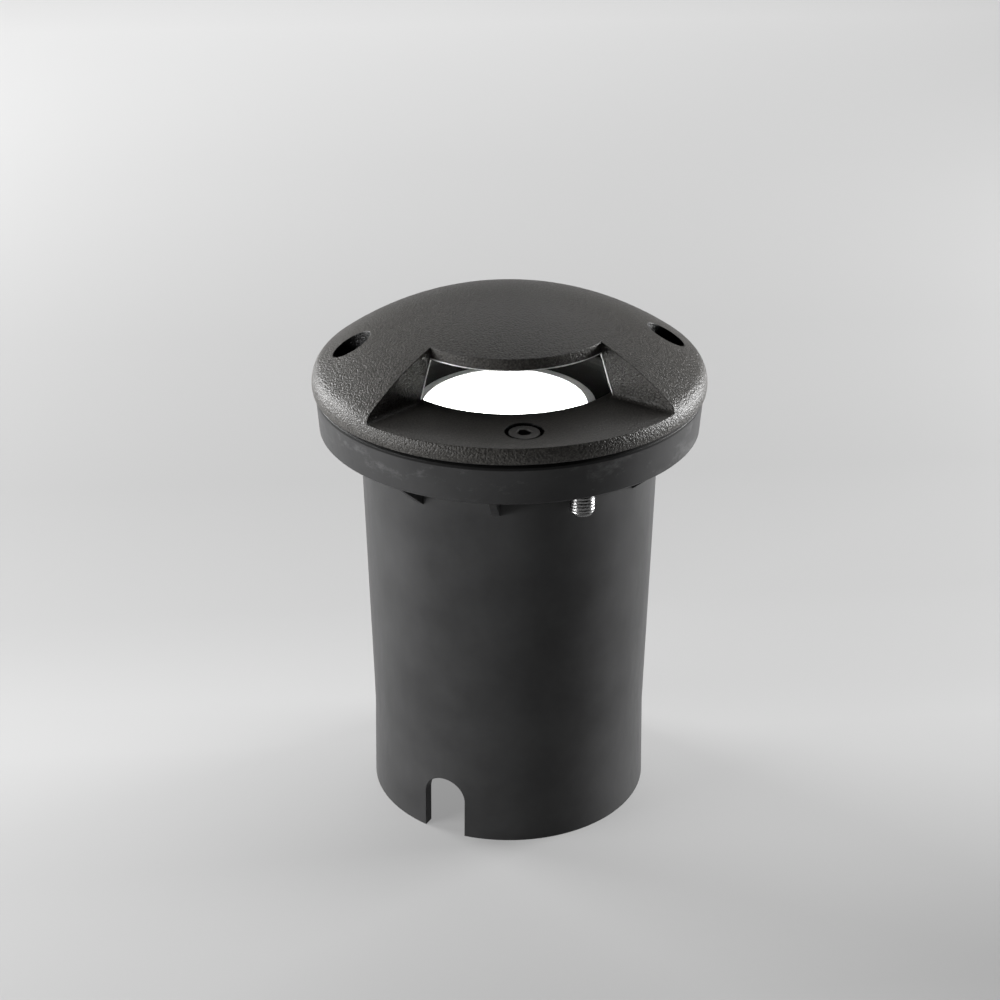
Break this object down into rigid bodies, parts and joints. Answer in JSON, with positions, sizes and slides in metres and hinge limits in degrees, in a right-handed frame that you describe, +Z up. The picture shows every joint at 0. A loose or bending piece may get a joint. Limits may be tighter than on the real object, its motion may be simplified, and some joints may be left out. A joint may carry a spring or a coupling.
{
  "type": "in-ground well light",
  "caption": "Round in-ground well light: domed cap with one fan-shaped window over an adjustable lamp, in a flanged ground sleeve with cable notches.",
  "frame": {"origin": "centre of the sleeve's foot, on the plane that the foot stands on", "axes": "+Z up along the sleeve's axis, -Y towards the side that the cap's window faces, +X to the right of it"},
  "size_m": [0.13, 0.13, 0.1783],
  "materials": {
    "powder_coat": "warm dark grey, fine textured powder coat over die-cast aluminium",
    "black_screw": "black-oxide steel, satin",
    "black_rubber": "matt black rubber",
    "moulded_black": "satin moulded black plastic with faint flow marks",
    "insert_steel": "ribbed steel bushing, dull",
    "opal_disc": "opal white, lit from behind",
    "bezel_grey": "light grey, satin",
    "clear_glass": "thick clear toughened glass",
    "housing_cast": "dark coated die-cast aluminium",
    "plain_steel": "stainless steel",
    "bare_aluminium": "bare machined aluminium",
    "board_white": "white solder mask",
    "chip_yellow": "yellow phosphor, glossy",
    "reflector_white": "white moulded plastic",
    "driver_black": "black potted case",
    "terminal_cream": "cream moulded plastic",
    "plain_brass": "plain brass",
    "lead_sleeve": "pale silicone sleeve",
    "gland_black": "black moulded plastic"
  },
  "bodies": {
    "fixture": {"ground_sleeve": "moulded_black", "sleeve_inserts": "insert_steel", "housing_screws": "plain_steel", "housing": "housing_cast", "flange_gasket": "black_rubber", "rim_seal": "black_rubber", "glass_gasket": "black_rubber", "front_glass": "clear_glass", "cowl_cap": "powder_coat", "cap_screws": "black_screw", "retaining_ring": "plain_steel", "driver_case": "driver_black", "driver_screws": "plain_steel", "lamp_lead": "lead_sleeve", "terminal_block": "terminal_cream", "terminal_screws": "plain_brass", "earth_screw": "plain_brass", "vent_plug": "gland_black", "gland_body": "gland_black", "gland_o_ring": "black_rubber", "gland_locknut": "gland_black", "gland_seal": "black_rubber", "gland_cap": "gland_black"},
    "swivel": {"swivel_ring": "bare_aluminium"},
    "lamp": {"heat_sink": "bare_aluminium", "led_board": "board_white", "led_chips": "chip_yellow", "board_screws": "plain_steel", "reflector": "reflector_white", "lamp_diffuser": "opal_disc", "lamp_bezel": "bezel_grey", "tilt_pins": "plain_steel"}
  },
  "joints": [
    {"name": "lamp_swivel", "type": "hinge", "parent": "fixture", "child": "swivel", "pos_m": [0, 0, 0.10947], "axis": [0, 0, 1], "range_deg": [-175, 175]},
    {"name": "lamp_tilt", "type": "hinge", "parent": "swivel", "child": "lamp", "pos_m": [0, 0, 0.12047], "axis": [0.891, -0.454, 0], "range_deg": [-13.8, 9.2]}
  ]
}
